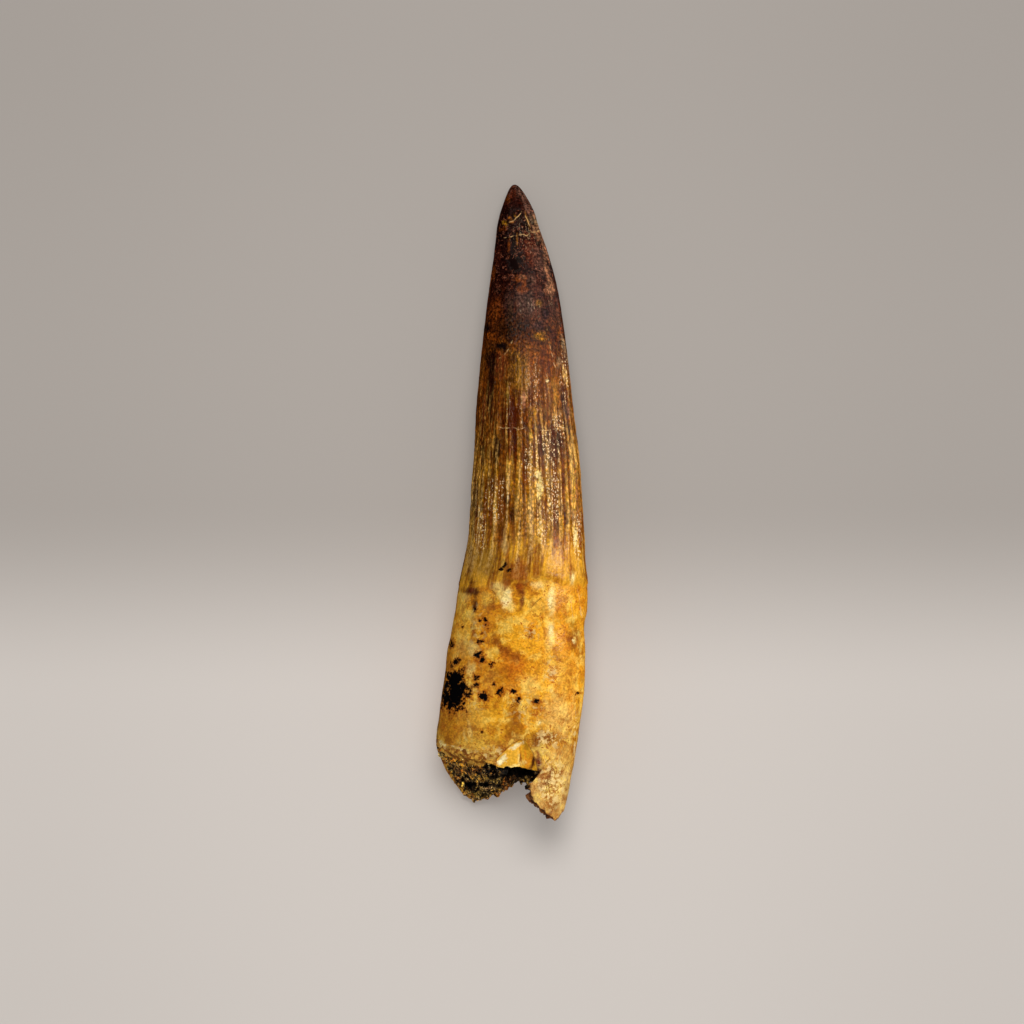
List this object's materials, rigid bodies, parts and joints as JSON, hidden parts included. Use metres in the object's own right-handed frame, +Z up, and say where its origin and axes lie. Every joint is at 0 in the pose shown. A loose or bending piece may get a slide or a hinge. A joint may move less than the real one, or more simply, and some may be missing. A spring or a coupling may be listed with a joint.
{
  "type": "spinosaurus tooth",
  "caption": "Fossil cone-shaped tooth with a fluted enamel crown and a snapped hollow root filled with cemented sand, lying on its side.",
  "frame": {"origin": "middle of the footprint, on the surface that the tooth lies on", "axes": "+Y from the broken root to the tip, +X across the tooth's width towards the splinter of root wall, +Z up"},
  "size_m": [0.027, 0.1124, 0.0193],
  "materials": {
    "fossil": "polished enamel, maroon at the tip through amber to ochre, on a mottled cream and ochre root",
    "sand": "rough cemented sand"
  },
  "bodies": {
    "root": {"tooth": "fossil"}
  },
  "joints": []
}
